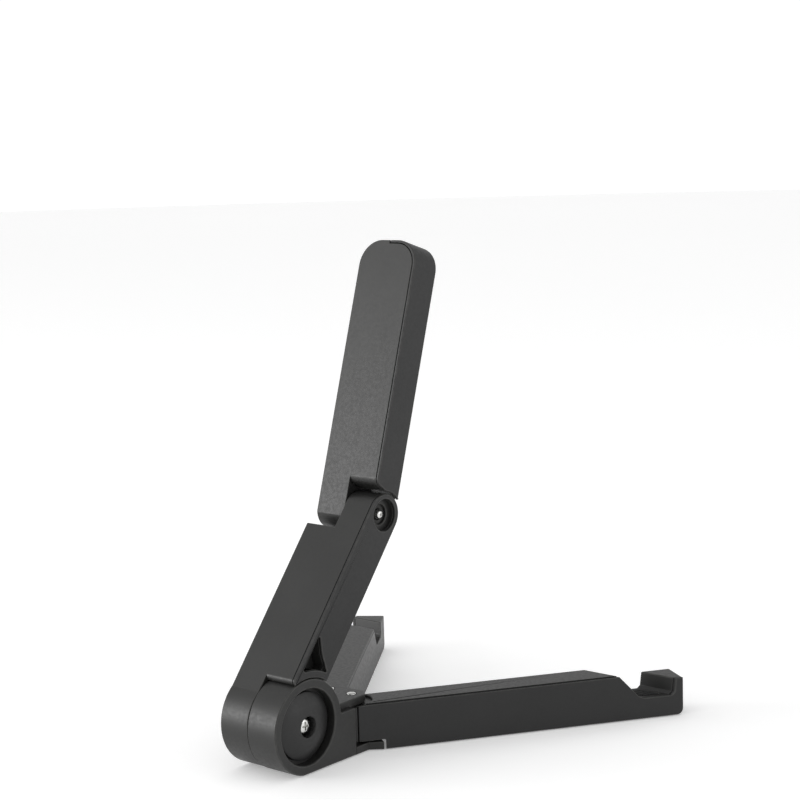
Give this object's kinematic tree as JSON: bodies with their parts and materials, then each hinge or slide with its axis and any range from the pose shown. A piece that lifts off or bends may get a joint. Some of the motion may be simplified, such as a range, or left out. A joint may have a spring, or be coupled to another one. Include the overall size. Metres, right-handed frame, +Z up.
{
  "type": "tablet stand",
  "caption": "Folding tablet stand: two hooked legs hold the tablet's lower edge and a jointed prop arm leans against its back.",
  "frame": {"origin": "on the table under the middle of the open stand's bounding box, at rest", "axes": "+Z up, -Y towards the tablet and the open ends of the legs, +Y towards the hub at the rear, -X the side with the hub's round end cap"},
  "size_m": [0.1564, 0.1474, 0.1716],
  "materials": {
    "shell_plastic": "satin moulded black ABS",
    "cover_plastic": "satin moulded black ABS",
    "rubber": "matt black rubber",
    "steel": "bright zinc-plated steel",
    "nylon": "dark grey nylon"
  },
  "bodies": {
    "base": {"hub_block": "shell_plastic", "hub_cap": "cover_plastic", "hub_screw": "steel", "hub_spring_washer": "steel", "hub_nut": "steel", "hub_foot_pad": "rubber", "left_pivot_pin": "steel", "right_pivot_pin": "steel", "left_pivot_washer": "nylon", "right_pivot_washer": "nylon"},
    "lower_arm": {"lower_arm_shell": "shell_plastic", "lower_arm_side_cover": "cover_plastic", "hub_friction_disc": "nylon", "hub_nut_cap": "cover_plastic", "elbow_screw": "steel", "elbow_washer": "steel", "elbow_nut": "steel"},
    "upper_arm": {"upper_arm_shell": "shell_plastic", "upper_arm_side_cover": "cover_plastic", "arm_tip_pad": "rubber", "elbow_friction_disc": "nylon"},
    "left_leg": {"left_leg_shell": "shell_plastic", "left_leg_side_cover": "cover_plastic", "left_hook_pad": "rubber", "left_foot_pad": "rubber"},
    "right_leg": {"right_leg_shell": "shell_plastic", "right_leg_side_cover": "cover_plastic", "right_hook_pad": "rubber", "right_foot_pad": "rubber"}
  },
  "joints": [
    {"name": "arm_swing", "type": "hinge", "parent": "base", "child": "lower_arm", "pos_m": [0, 0.05772, 0.016], "axis": [-1, 0, 0], "range_deg": [-51, 69]},
    {"name": "elbow_fold", "type": "hinge", "parent": "lower_arm", "child": "upper_arm", "pos_m": [0, 0.01671, 0.07968], "axis": [-1, 0, 0], "range_deg": [-21.7, 86]},
    {"name": "left_leg_swing", "type": "hinge", "parent": "base", "child": "left_leg", "pos_m": [-0.005, 0.02822, 0], "axis": [0, 0, -1], "range_deg": [-34, 0]},
    {"name": "right_leg_swing", "type": "hinge", "parent": "base", "child": "right_leg", "pos_m": [0.005, 0.02822, 0], "axis": [0, 0, 1], "range_deg": [-34, 0]}
  ]
}
